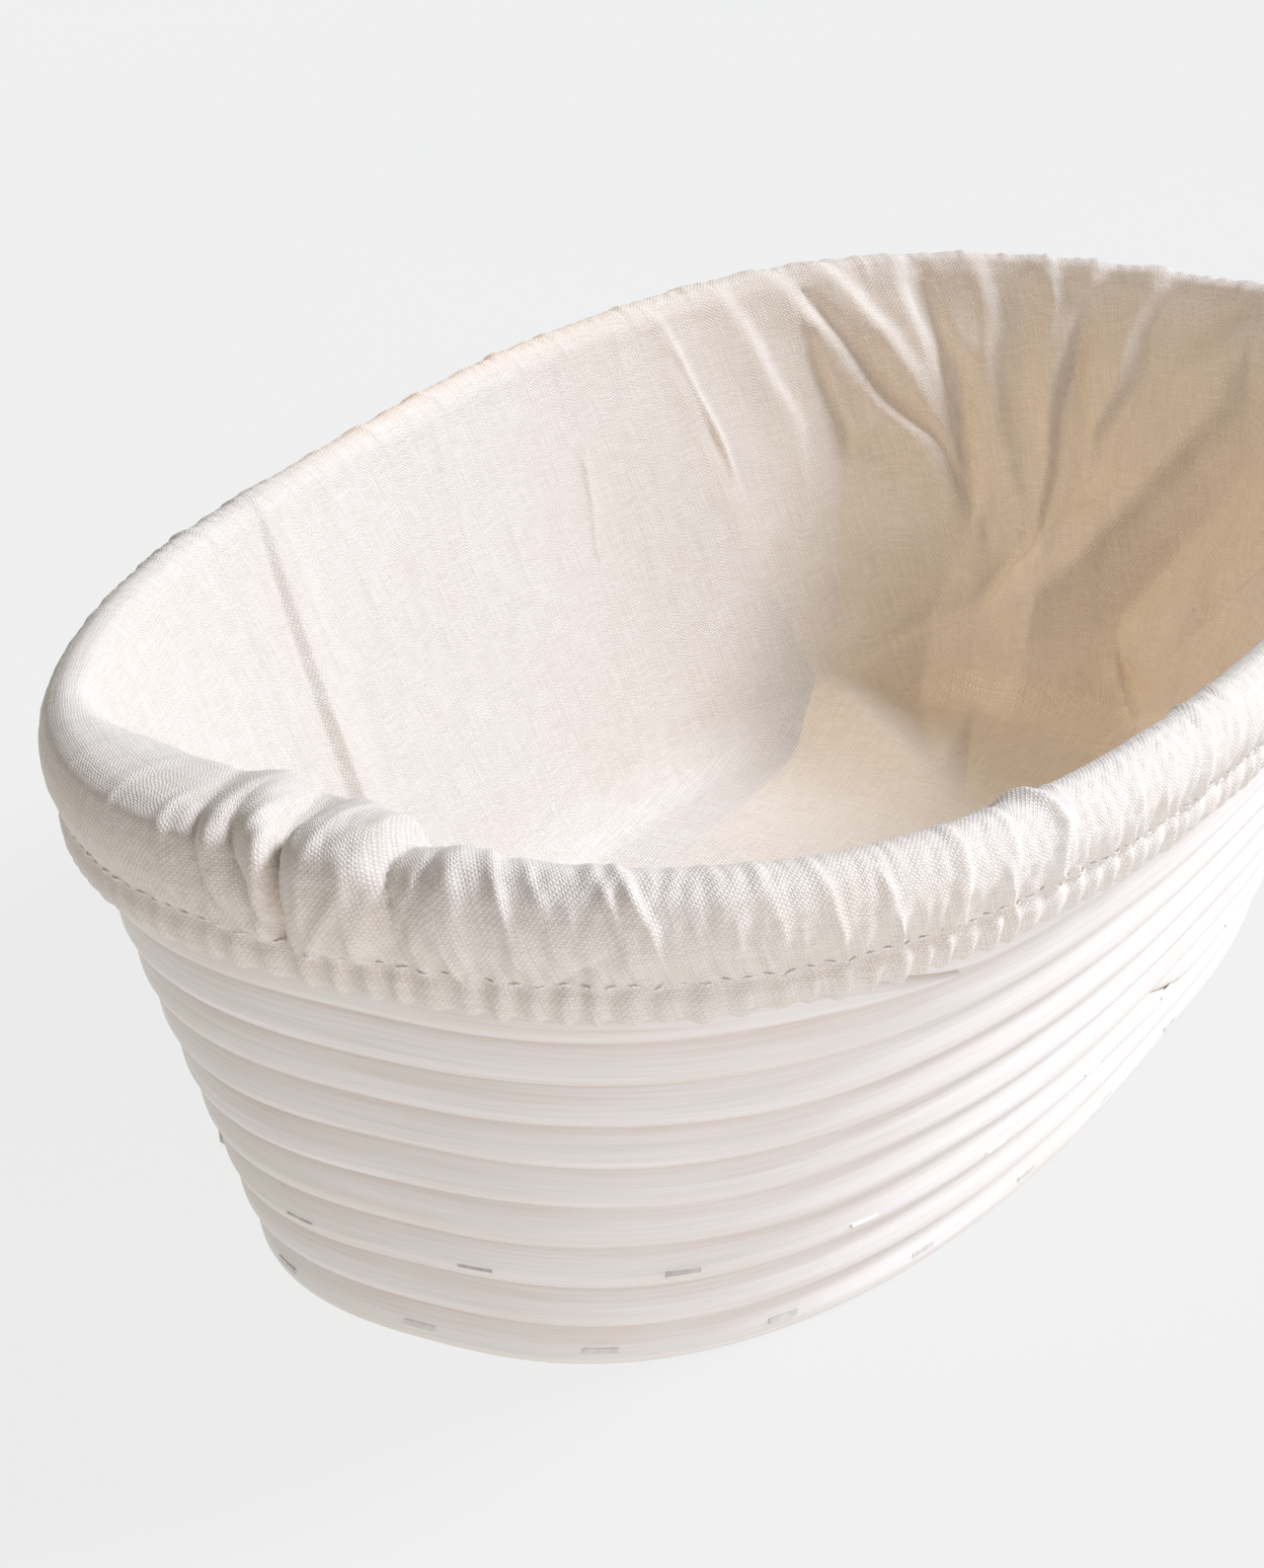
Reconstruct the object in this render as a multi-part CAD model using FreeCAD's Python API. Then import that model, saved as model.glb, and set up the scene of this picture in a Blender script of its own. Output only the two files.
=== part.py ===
"""Oval coiled-cane proofing basket (banneton) with a removable elasticated cloth liner.

Row frame: +Z up, +X along the length, origin at the centre of the underside. Millimetres.

The basket is rattan cane, 8.5 mm wide and 6.4 mm thick. A straight core strip starts the floor and
two strips are coiled flat around it. Five more strips wind up the flared wall, one turn on top of
the other. Each turn is level except over one short ramp at the back, where it climbs by one cane
width. Strips meet end to end in long scarf joints, and wire staples hold the turns together.
The liner is one cloth: a pouch inside the basket, and a cuff folded over the rim that ends in a
stitched hem with an elastic band in it.
"""

import FreeCAD
import Part

import bisect
import math
import os

V = FreeCAD.Vector

# Driving dimensions of the basket
CANE_WIDTH = 8.5  # up the wall, so also the rise of one turn
CANE_THICK = 6.4
WALL_TURNS = 11
FOOT_HALF_LENGTH = 142.5  # outline of the wall's outer face, carried down to the table
FOOT_HALF_WIDTH = 65.0
WALL_SLOPE = 0.35  # mm outwards per mm of height
OUTLINE_POWER = 2.6  # superellipse exponent of the plan outline
FLOOR_TURNS = 7
RAMP_SHARE = 0.16  # the part of a turn over which it climbs to the next level
RAMP_END_ANGLE = 118.0  # degrees round the plan outline, at the back of the basket

# Fits
TURN_GAP = 0.2  # between one turn and the next
SEAM_GAP = 0.3  # in a scarf joint, and between the floor and the wall
EDGE_ROUND = 1.2  # how far a cane's face bulges past its edges
SCARF_SHARE = 0.05  # the length of a scarf joint, in turns
TIP_SHARE = 0.28  # the part of a scarf's taper that is cut off, so it ends blunt
TAPER_SHARE = 0.72  # the part of a ramp that the cane's own tapered ends take up
TAPER_THINNING = 0.5  # how much each face of a cane draws back at its pointed ends

# Where strips of cane meet, in turns from the start of the wall and of the floor
WALL_SCARFS = (2.35, 4.55, 6.40, 8.21)
FLOOR_SCARF = 4.30

# Staples
STAPLE_CROWN = 5.7
STAPLE_LEG = 9.0
STAPLE_WIRE = (0.9, 0.6)  # across the crown's face, and front to back
STAPLE_PROUD = 0.15
FOOT_STAPLES = 22  # in the lowest turn, and as many in the third
FOOT_STAPLE_HEIGHT = 3.1
THIRD_TURN_STAPLE_HEIGHT = 19.3
THIRD_TURN_SHIFT = 0.4  # of the spacing, against the lowest turn's
THIRD_TURN_DRIVE_ANGLE = 38.0  # degrees below the horizontal
HIDDEN_STAPLES = 11  # in each turn above the second, under the next one
HIDDEN_LEG = 12.8
HIDDEN_LEAN = 10.0  # degrees from the vertical, down and inwards
FLOOR_STAPLES = (4, 6, 6, 8, 8, 10)  # in each turn of the floor

# Liner
CLOTH = 1.0  # the solid that stands for the cloth and its creases
LINER_CLEAR = 0.5  # between the cloth's solid and the cane
POUCH_TOP_DROP = 3.0  # how far below the rim the pouch hands over to the cuff
CUFF_HEM_HEIGHT = 80.5  # where the cuff ends and the stitched hem begins
HEM_HEIGHT = 73.3  # the hem's lower edge
HEM_THICK = 2.6
ELASTIC = (4.5, 0.8)  # height and thickness of the band
THREAD = 0.5

WALL_HEIGHT = WALL_TURNS * CANE_WIDTH
OUTLINE_POINTS = 96


# ---------------------------------------------------------------- plan outline
def outline_point(offset, angle):
    """A point of the plan outline that lies `offset` outside the foot outline."""
    c, s = math.cos(angle), math.sin(angle)
    x = (FOOT_HALF_LENGTH + offset) * math.copysign(abs(c) ** (2 / OUTLINE_POWER), c)
    y = (FOOT_HALF_WIDTH + offset) * math.copysign(abs(s) ** (2 / OUTLINE_POWER), s)
    return x, y


def even_angles(steps=3600):
    """Cumulative length round the outline, with the angle at each step, from the ramp's end."""
    start = math.radians(RAMP_END_ANGLE)
    angles = [start + 2 * math.pi * i / steps for i in range(steps + 1)]
    middle = WALL_SLOPE * WALL_HEIGHT / 2
    points = [outline_point(middle, a) for a in angles]
    lengths = [0.0]
    for p, q in zip(points, points[1:]):
        lengths.append(lengths[-1] + math.hypot(q[0] - p[0], q[1] - p[1]))
    return [length / lengths[-1] for length in lengths], angles


SHARES, ANGLES = even_angles()


def angle_at(turn):
    """The outline's angle at a place given in turns, evenly spaced along the cane."""
    whole = math.floor(turn)
    share = turn - whole
    i = min(max(bisect.bisect_right(SHARES, share) - 1, 0), len(SHARES) - 2)
    step = (share - SHARES[i]) / (SHARES[i + 1] - SHARES[i])
    return ANGLES[i] + step * (ANGLES[i + 1] - ANGLES[i]) + 2 * math.pi * whole


def wall_point(turn, offset, z):
    x, y = outline_point(offset, angle_at(turn))
    return V(x, y, z)


def outward(turn, offset=0.0):
    """The outline's outward normal in plan."""
    ahead = wall_point(turn + 0.002, offset, 0)
    behind = wall_point(turn - 0.002, offset, 0)
    along = (ahead - behind).normalize()
    return V(along.y, -along.x, 0)


def smooth_step(share):
    share = min(max(share, 0.0), 1.0)
    return share * share * (3 - 2 * share)


def climb(turn):
    """How many levels the cane has climbed: flat, then a smooth ramp at the end of each turn."""
    whole = math.floor(turn)
    return whole + smooth_step((turn - whole - (1 - RAMP_SHARE)) / RAMP_SHARE)


def stations(start, end, per_turn):
    """Places along a strip, at the same places in every turn, plus its two ends."""
    first, last = math.ceil(start * per_turn + 0.3), math.floor(end * per_turn - 0.3)
    return [start, *[i / per_turn for i in range(first, last + 1)], end]


# ---------------------------------------------------------------- solids between smooth rails
def rail(points, places):
    """The control points of a smooth curve, whose knots depend only on the places."""
    curve = Part.BSplineCurve()
    curve.interpolate(Points=points, Parameters=places)
    return curve


def face_across(rows, degree, curve):
    surface = Part.BSplineSurface()
    ends = [degree + 1, degree + 1]
    surface.buildFromPolesMultsKnots(
        rows, curve.getMultiplicities(), ends, curve.getKnots(), [0.0, 1.0], False, False, 3, degree
    )
    return surface.toShape()


def flat_face(first, second):
    """A face that runs straight across from one rail to another."""
    return face_across(list(zip(first.getPoles(), second.getPoles())), 1, first)


def bulged_face(first, crest, second):
    """A face from one rail to another that passes through the crest half-way between them."""
    poles = zip(first.getPoles(), crest.getPoles(), second.getPoles())
    rows = [[a, m * 2 - (a + b) * 0.5, b] for a, m, b in poles]
    return face_across(rows, 2, first)


def solid_of(faces):
    """The solid inside a closed set of faces."""
    sewn = Part.Compound(faces)
    sewn.sewShape()
    solid = Part.Solid(sewn.Shells[0])
    if solid.Volume < 0:
        solid.reverse()
    return solid


# ---------------------------------------------------------------- cane wall
def scarfed(low, high, turn, scarf_start, scarf_end):
    """Cut a strip's band down to a wedge where it meets the strip before it or after it."""
    full = high - low
    bottom, top = low, high
    if scarf_start is not None and turn < scarf_start + SCARF_SHARE:
        low = top - full * smooth_step((turn - scarf_start) / SCARF_SHARE) + SEAM_GAP / 2
    if scarf_end is not None and turn > scarf_end:
        high = top - full * smooth_step((turn - scarf_end) / SCARF_SHARE) - SEAM_GAP / 2
    return max(low, bottom), min(high, top)


def wall_levels(turn):
    """Bottom and top of the cane at a place, cut off level at the table and at the rim."""
    bottom = CANE_WIDTH * climb(turn)
    return max(bottom, 0.0), min(bottom + CANE_WIDTH, WALL_HEIGHT) - TURN_GAP


def wall_strip(start, end, scarf_start, scarf_end):
    """One strip of cane wound up the wall: flat edges, and outer and inner faces that bulge."""
    places = stations(start, end, 110)
    rails = {name: [] for name in ("low_in", "low_out", "out", "high_out", "high_in", "in")}
    for turn in places:
        bottom, top = wall_levels(turn)
        low, high = scarfed(bottom, top, turn, scarf_start, scarf_end)
        middle = min(max((bottom + top) / 2, CANE_WIDTH / 2), WALL_HEIGHT - CANE_WIDTH / 2)
        thinned = TAPER_THINNING * (1 - (high - low) / CANE_WIDTH)
        outer = WALL_SLOPE * middle - thinned
        inner = outer - CANE_THICK + 2 * thinned
        rails["low_in"].append(wall_point(turn, inner + EDGE_ROUND, low))
        rails["low_out"].append(wall_point(turn, outer - EDGE_ROUND, low))
        rails["out"].append(wall_point(turn, outer, (low + high) / 2))
        rails["high_out"].append(wall_point(turn, outer - EDGE_ROUND, high))
        rails["high_in"].append(wall_point(turn, inner + EDGE_ROUND, high))
        rails["in"].append(wall_point(turn, inner, (low + high) / 2))
    curves = {name: rail(points, places) for name, points in rails.items()}
    faces = [
        flat_face(curves["low_in"], curves["low_out"]),
        bulged_face(curves["low_out"], curves["out"], curves["high_out"]),
        flat_face(curves["high_out"], curves["high_in"]),
        bulged_face(curves["high_in"], curves["in"], curves["low_in"]),
    ]
    return solid_of(faces + strip_ends(curves))


def strip_ends(curves):
    """The flat ends of a wall strip."""
    caps = []
    for end in (0, -1):
        at = {name: curve.getPoles()[end] for name, curve in curves.items()}
        edges = [Part.LineSegment(at["low_in"], at["low_out"])]
        edges.append(bulge_curve(at["low_out"], at["out"], at["high_out"]))
        edges.append(Part.LineSegment(at["high_out"], at["high_in"]))
        edges.append(bulge_curve(at["high_in"], at["in"], at["low_in"]))
        caps.append(Part.Face(Part.Wire([edge.toShape() for edge in edges])))
    return caps


def bulge_curve(first, crest, second):
    curve = Part.BezierCurve()
    curve.setPoles([first, crest * 2 - (first + second) * 0.5, second])
    return curve


def wall_strips():
    """The wall's strips by name, from the foot to the rim."""
    scarfs = [None, *WALL_SCARFS, None]
    strips = {}
    for i in range(len(scarfs) - 1):
        begin, finish = scarfs[i], scarfs[i + 1]
        start = -RAMP_SHARE * TAPER_SHARE if begin is None else begin + TIP_SHARE * SCARF_SHARE
        end = WALL_TURNS - RAMP_SHARE * (1 - TAPER_SHARE)
        if finish is not None:
            end = finish + (1 - TIP_SHARE) * SCARF_SHARE
        strips[f"wall_cane_{i + 1}"] = wall_strip(start, end, begin, finish)
    return strips


# ---------------------------------------------------------------- cane floor
FLOOR_INNER = 4.4  # half the width of the straight core strip
FLOOR_OUTER = FOOT_HALF_WIDTH - CANE_THICK - SEAM_GAP + WALL_SLOPE * CANE_WIDTH / 2
FLOOR_PITCH = (FLOOR_OUTER - FLOOR_INNER) / FLOOR_TURNS


def floor_point(turn, reach, z=0.0):
    """A point of the floor, `reach` mm out from the middle where the floor is widest."""
    return wall_point(turn, reach - FOOT_HALF_WIDTH, z)


def floor_band(turn):
    """Inner and outer reach of the coiled floor cane at a place."""
    low = FLOOR_INNER + FLOOR_PITCH * climb(turn)
    return max(low, FLOOR_INNER) + TURN_GAP, min(low + FLOOR_PITCH, FLOOR_OUTER)


def floor_strip(start, end, scarf_start, scarf_end):
    """One flat coiled strip: a band between two spiral edges, raised to the cane's thickness."""
    places = stations(start, end, 120)
    low, high = [], []
    for turn in places:
        inside, outside = scarfed(*floor_band(turn), turn, scarf_start, scarf_end)
        low.append(inside)
        high.append(outside)
    inner = [floor_point(turn, reach) for turn, reach in zip(places, low)]
    outer = [floor_point(turn, reach) for turn, reach in zip(places, high)]
    up = V(0, 0, CANE_THICK)
    curves = [
        rail(inner, places),
        rail(outer, places),
        rail([p + up for p in outer], places),
        rail([p + up for p in inner], places),
    ]
    faces = [flat_face(a, b) for a, b in zip(curves, curves[1:] + curves[:1])]
    for end_index in (0, -1):
        corners = [curve.getPoles()[end_index] for curve in curves]
        faces.append(Part.Face(Part.makePolygon(corners + corners[:1])))
    return solid_of(faces)


def floor_core():
    """The straight strip in the middle, tapered at both ends."""
    edge = ring_edge(FLOOR_INNER - FOOT_HALF_WIDTH, 0.0)
    return Part.Face(Part.Wire([edge])).extrude(V(0, 0, CANE_THICK))


def floor_strips():
    start = -RAMP_SHARE * TAPER_SHARE
    end = FLOOR_TURNS - RAMP_SHARE * (1 - TAPER_SHARE)
    tip = TIP_SHARE * SCARF_SHARE
    return {
        "floor_core_cane": floor_core(),
        "floor_cane_1": floor_strip(start, FLOOR_SCARF + SCARF_SHARE - tip, None, FLOOR_SCARF),
        "floor_cane_2": floor_strip(FLOOR_SCARF + tip, end, FLOOR_SCARF, None),
    }


# ---------------------------------------------------------------- staples
def staple(crown_centre, along, drive, leg=STAPLE_LEG):
    """A U of flat wire. `along` is the crown's direction and `drive` the way the legs go in."""
    wide, thick = STAPLE_WIRE
    half = STAPLE_CROWN / 2
    side = along.cross(drive)
    corners = [
        (-half, 0),
        (half, 0),
        (half, leg),
        (half - thick, leg),
        (half - thick, thick),
        (thick - half, thick),
        (thick - half, leg),
        (-half, leg),
    ]
    base = crown_centre - side * (wide / 2)
    points = [base + along * a + drive * d for a, d in corners]
    face = Part.Face(Part.makePolygon(points + points[:1]))
    return face.extrude(side * wide)


def outer_face(level, z):
    """Offset of the outer face of a turn at one height, counting turns from 0."""
    middle = (level + 0.5) * CANE_WIDTH
    return WALL_SLOPE * middle - EDGE_ROUND * ((z - middle) / (CANE_WIDTH / 2)) ** 2


def driven_down(out, degrees):
    """A direction inwards, and down by an angle from the horizontal."""
    angle = math.radians(degrees)
    return out * -math.cos(angle) + V(0, 0, -math.sin(angle))


def foot_staples():
    """Driven level through the lowest turn into the edge of the floor."""
    made = []
    for i in range(FOOT_STAPLES):
        turn = i / FOOT_STAPLES
        out = outward(turn)
        proud = outer_face(0, FOOT_STAPLE_HEIGHT) + STAPLE_PROUD
        centre = wall_point(turn, proud, FOOT_STAPLE_HEIGHT)
        made.append(staple(centre, V(-out.y, out.x, 0), out * -1))
    return made


def third_turn_staples():
    """Driven down through the third turn into the second, where no ramp is in the way."""
    made = []
    for i in range(FOOT_STAPLES):
        turn = 2 + (i + THIRD_TURN_SHIFT) / FOOT_STAPLES
        if turn % 1.0 > 1 - RAMP_SHARE:
            continue
        out = outward(turn)
        drive = driven_down(out, THIRD_TURN_DRIVE_ANGLE)
        z = THIRD_TURN_STAPLE_HEIGHT
        centre = wall_point(turn, outer_face(2, z), z) - drive * STAPLE_PROUD
        made.append(staple(centre, V(-out.y, out.x, 0), drive))
    return made


def hidden_staples():
    """Driven down through each turn into the one below, then covered by the next turn."""
    made = []
    for level in range(1, WALL_TURNS):
        shift = 0.35 + 0.5 * (level % 2)
        for i in range(HIDDEN_STAPLES):
            share = (i + shift) / HIDDEN_STAPLES
            if share % 1.0 > 1 - RAMP_SHARE - 0.01:
                continue
            turn = level + share
            top = (level + 1) * CANE_WIDTH - TURN_GAP - 0.1
            offset = WALL_SLOPE * (level + 0.5) * CANE_WIDTH - CANE_THICK / 2
            out = outward(turn)
            drive = driven_down(out, 90.0 - HIDDEN_LEAN)
            centre = wall_point(turn, offset, top)
            made.append(staple(centre, V(-out.y, out.x, 0), drive, HIDDEN_LEG))
    return made


def floor_staples():
    """Driven level through each floor turn into the one inside it."""
    made = []
    for level, count in enumerate(FLOOR_STAPLES):
        for i in range(count):
            turn = level + (i + 0.5) / count * (1 - RAMP_SHARE)
            reach = FLOOR_INNER + FLOOR_PITCH * (level + 1) - 0.1
            edge = floor_point(turn, reach, CANE_THICK / 2)
            inwards = outward(turn, reach - FOOT_HALF_WIDTH) * -1
            made.append(staple(edge, V(inwards.y, -inwards.x, 0), inwards))
    return made


# ---------------------------------------------------------------- liner
def ring_edge(offset, z):
    """A closed, smooth outline at one offset and height."""
    curve = Part.BSplineCurve()
    points = [wall_point(i / OUTLINE_POINTS, offset, z) for i in range(OUTLINE_POINTS)]
    curve.interpolate(points, PeriodicFlag=True)
    return curve.toShape()


def shell_of(faces):
    shell = Part.Shell(faces)
    solid = Part.Solid(shell)
    if solid.Volume < 0:
        solid.reverse()
    return solid


def ring_solid(profile):
    """A closed band round the basket, from its section's corners as (offset, height)."""
    edges = [ring_edge(offset, z) for offset, z in profile]
    faces = [Part.makeRuledSurface(a, b) for a, b in zip(edges, edges[1:] + edges[:1])]
    return shell_of(faces)


RIDGE = 0.5  # how far the turns stand out of the line through their middles


def inside_line(z):
    """Offset of the cane's innermost ridges, which the pouch lies against."""
    return WALL_SLOPE * z - CANE_THICK - RIDGE


def outside_line(z):
    """Offset of the cane's outermost ridges."""
    return WALL_SLOPE * z + RIDGE


def liner_pouch():
    """The cloth inside the basket: a floor and a flared wall."""
    floor = CANE_THICK + LINER_CLEAR
    top = WALL_HEIGHT - POUCH_TOP_DROP
    outer_low = inside_line(floor) - LINER_CLEAR - 1.0
    outer_high = inside_line(top) - LINER_CLEAR
    rings = [
        ring_edge(outer_low, floor),
        ring_edge(outer_high, top),
        ring_edge(outer_high - CLOTH, top),
        ring_edge(outer_low - CLOTH, floor + CLOTH),
    ]
    faces = [Part.Face(Part.Wire([rings[0]]))]
    faces += [Part.makeRuledSurface(a, b) for a, b in zip(rings, rings[1:])]
    faces.append(Part.Face(Part.Wire([rings[3]])))
    return shell_of(faces)


def liner_cuff():
    """The cloth folded over the rim and down the outside, as far as the hem."""
    start = WALL_HEIGHT - POUCH_TOP_DROP + 0.2
    inner = inside_line(start) - LINER_CLEAR
    over = WALL_HEIGHT + LINER_CLEAR
    rim_in = WALL_SLOPE * (WALL_HEIGHT - CANE_WIDTH / 2) - CANE_THICK
    rim_out = WALL_SLOPE * (WALL_HEIGHT - CANE_WIDTH / 2)
    foot = outside_line(CUFF_HEM_HEIGHT) + LINER_CLEAR
    return ring_solid(
        [
            (inner, start),
            (rim_in + 0.2, over),
            (rim_out - 0.2, over),
            (rim_out + LINER_CLEAR + 0.1, WALL_HEIGHT - 2.0),
            (rim_out + LINER_CLEAR + 0.1, WALL_HEIGHT - CANE_WIDTH),
            (foot, CUFF_HEM_HEIGHT),
            (foot + CLOTH, CUFF_HEM_HEIGHT),
            (rim_out + LINER_CLEAR + 0.1 + CLOTH, WALL_HEIGHT - CANE_WIDTH),
            (rim_out + LINER_CLEAR + 0.1 + CLOTH, WALL_HEIGHT - 1.0),
            (rim_out + 0.2, over + CLOTH),
            (rim_in - 0.2, over + CLOTH),
            (inner - CLOTH, start),
        ]
    )


def hem_offset(z):
    return outside_line(z) + LINER_CLEAR


def liner_hem():
    """The turned-up casing at the cuff's lower edge, hollow for the elastic."""
    low, high = HEM_HEIGHT, CUFF_HEM_HEIGHT - 0.15
    hollow = (high - low - ELASTIC[0] - 0.6) / 2
    wall = (HEM_THICK - ELASTIC[1] - 0.4) / 2
    outer = ring_solid(
        [
            (hem_offset(low), low),
            (hem_offset(high), high),
            (hem_offset(high) + HEM_THICK, high),
            (hem_offset(low) + HEM_THICK, low),
        ]
    )
    a, b = low + hollow, high - hollow
    inner = ring_solid(
        [
            (hem_offset(a) + wall, a),
            (hem_offset(b) + wall, b),
            (hem_offset(b) + HEM_THICK - wall, b),
            (hem_offset(a) + HEM_THICK - wall, a),
        ]
    )
    return outer.cut(inner)


def elastic_band():
    """The flat elastic, loose in the hem's casing."""
    low, high = HEM_HEIGHT, CUFF_HEM_HEIGHT - 0.15
    a = (low + high - ELASTIC[0]) / 2
    b = a + ELASTIC[0]
    start = (HEM_THICK - ELASTIC[1]) / 2
    return ring_solid(
        [
            (hem_offset(a) + start, a),
            (hem_offset(b) + start, b),
            (hem_offset(b) + start + ELASTIC[1], b),
            (hem_offset(a) + start + ELASTIC[1], a),
        ]
    )


def hem_stitching():
    """The line of sewing thread along the top of the casing, laid on the cloth."""
    z = CUFF_HEM_HEIGHT - 1.4
    start = hem_offset(z + THREAD) + HEM_THICK + 0.1
    return ring_solid(
        [(start, z), (start, z + THREAD), (start + THREAD, z + THREAD), (start + THREAD, z)]
    )


# ---------------------------------------------------------------- build
def build():
    parts = {}
    parts.update(floor_strips())
    parts.update(wall_strips())
    parts["floor_staples"] = Part.makeCompound(floor_staples())
    parts["foot_staples"] = Part.makeCompound(foot_staples())
    parts["third_turn_staples"] = Part.makeCompound(third_turn_staples())
    parts["hidden_wall_staples"] = Part.makeCompound(hidden_staples())
    parts["liner_pouch"] = liner_pouch()
    parts["liner_cuff"] = liner_cuff()
    parts["liner_hem"] = liner_hem()
    parts["hem_elastic"] = elastic_band()
    parts["hem_stitching"] = hem_stitching()
    return parts


os.makedirs("parts", exist_ok=True)
for node, shape in build().items():
    print(node, len(shape.Solids), "valid" if shape.isValid() else "NOT VALID", round(shape.Volume))
    shape.exportStep(f"parts/{node}.step")
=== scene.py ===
"""Looks for the banneton basket: coiled cane, staples, the cloth liner, a pale studio, the camera.

Lengths are worked out in millimetres, like the CAD, and turned into metres when a mesh is made.
Places round the basket are given in millimetres along its rim, counted from the +X end through
the +Y side.
"""
import math

import bpy
import numpy as np
from mathutils import Euler, Matrix, Vector
from mathutils.geometry import delaunay_2d_cdt


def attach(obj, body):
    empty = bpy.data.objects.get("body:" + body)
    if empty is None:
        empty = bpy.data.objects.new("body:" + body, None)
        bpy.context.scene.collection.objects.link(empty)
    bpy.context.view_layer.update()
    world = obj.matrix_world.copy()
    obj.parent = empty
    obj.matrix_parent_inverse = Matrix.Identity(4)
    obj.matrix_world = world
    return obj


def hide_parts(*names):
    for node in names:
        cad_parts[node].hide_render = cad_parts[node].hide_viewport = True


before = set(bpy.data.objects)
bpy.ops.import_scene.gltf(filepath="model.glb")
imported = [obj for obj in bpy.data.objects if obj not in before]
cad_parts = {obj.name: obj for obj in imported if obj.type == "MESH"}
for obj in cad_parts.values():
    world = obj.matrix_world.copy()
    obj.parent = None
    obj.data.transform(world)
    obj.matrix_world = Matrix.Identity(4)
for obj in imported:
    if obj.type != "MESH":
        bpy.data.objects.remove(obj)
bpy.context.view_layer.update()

# Basket, as in the CAD
CANE_WIDTH = 8.5
CANE_THICK = 6.4
WALL_TURNS = 11
FOOT_HALF_LENGTH = 142.5
FOOT_HALF_WIDTH = 65.0
WALL_SLOPE = 0.35
OUTLINE_POWER = 2.6
FLOOR_TURNS = 7
RAMP_SHARE = 0.16
RAMP_END_ANGLE = math.radians(118.0)
TURN_GAP = 0.2
SEAM_GAP = 0.3
PRESSED = 0.5  # how much each rounded cane is widened each way, so that no light shows between them
SCARF_SHARE = 0.05
TIP_SHARE = 0.12
TAPER_SHARE = 0.72
WALL_SCARFS = (2.35, 4.55, 6.40, 8.21)
FLOOR_SCARF = 4.30
FLOOR_INNER = 4.4
WALL_STRIPS = len(WALL_SCARFS) + 1
SECTION_POWER = 2.5  # how square the canes are: 2 is round
SECTION_POINTS = 24
SECTION_ROUND = 28.8  # UV length round a cane
STEPS_A_TURN = 260
WALL_TURN_LENGTH = 850.0  # UV length of a turn
FLOOR_TURN_LENGTH = 450.0
CORE_POWER = 0.6  # how round the floor core's edges are: 1 is half an ellipse
CORE_ROUNDING = 1.6
WALL_HEIGHT = WALL_TURNS * CANE_WIDTH
FLOOR_OUTER = FOOT_HALF_WIDTH - CANE_THICK - SEAM_GAP + WALL_SLOPE * CANE_WIDTH / 2

# Liner
FLOOR_CLOTH_Z = 7.5
RIM_LENGTH = 900.0  # the scale of places round the basket
AROUND = 1600  # cloth grid points round the basket
THREAD_SPACING = 0.45  # of the weave
ELASTIC_THICK = 0.7
STITCH_PITCH = 3.3
STITCH_LENGTH = 2.4
STITCH_RISE = 0.42  # how far a stitch bows out
STITCH_SUNK = 0.12  # how far its ends sink into the cloth
THREAD_HALF = 0.22  # half the thread's thickness at the middle of a stitch
THREAD_END = 0.10
THREAD_ROUND = 0.2  # the thread's radius as its UVs see it


# ---------------------------------------------------------------- outline
def outline(offset, angle):
    """The point at an angle round the basket, offset out from the foot of the wall."""
    c, s = np.cos(angle), np.sin(angle)
    x = (FOOT_HALF_LENGTH + offset) * np.sign(c) * np.abs(c) ** (2 / OUTLINE_POWER)
    y = (FOOT_HALF_WIDTH + offset) * np.sign(s) * np.abs(s) ** (2 / OUTLINE_POWER)
    return x, y


def even_table(start):
    """Shares of the way round the outline, and the angle at each."""
    angles = start + np.linspace(0, 2 * math.pi, 7201)
    x, y = outline(WALL_SLOPE * WALL_HEIGHT / 2, angles)
    lengths = np.concatenate([[0], np.cumsum(np.hypot(np.diff(x), np.diff(y)))])
    return lengths / lengths[-1], angles


COIL_TABLE = even_table(RAMP_END_ANGLE)
RIM_TABLE = even_table(0.0)


def coil_angle(turn):
    """The angle at a point along the coil, in turns from where its first ramp ends."""
    return np.interp(turn % 1.0, *COIL_TABLE)


def rim_angle(place):
    """The angle at a place round the rim."""
    return np.interp(place / RIM_LENGTH % 1.0, *RIM_TABLE)


def smooth_step(share):
    share = np.clip(share, 0, 1)
    return share * share * (3 - 2 * share)


def climb(turn):
    """How many turns up the coil has come: level, with a ramp at the end of each turn."""
    whole = np.floor(turn)
    return whole + smooth_step((turn - whole - (1 - RAMP_SHARE)) / RAMP_SHARE)


# ---------------------------------------------------------------- meshes
def grid_corners(values, wrap):
    """The four corner values of each quad over a grid of values."""
    rows, cols = values.shape[:2]
    across = cols if wrap else cols - 1
    r, c = np.meshgrid(np.arange(rows - 1), np.arange(across), indexing="ij")
    beside = (c + 1) % cols
    return np.stack([values[r, c], values[r, beside], values[r + 1, beside], values[r + 1, c]], 2)


def make_mesh(name, points, faces, uv):
    """A smooth mesh from points in millimetres, with the UVs of each corner of each face."""
    mesh = bpy.data.meshes.new(name)
    mesh.from_pydata((points.reshape(-1, 3) * 0.001).tolist(), [], faces)
    mesh.uv_layers.new(name="UVMap").data.foreach_set("uv", uv.ravel())
    mesh.polygons.foreach_set("use_smooth", np.ones(len(mesh.polygons), bool))
    mesh.update()
    piece = bpy.data.objects.new(name, mesh)
    bpy.context.scene.collection.objects.link(piece)
    return piece


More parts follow.
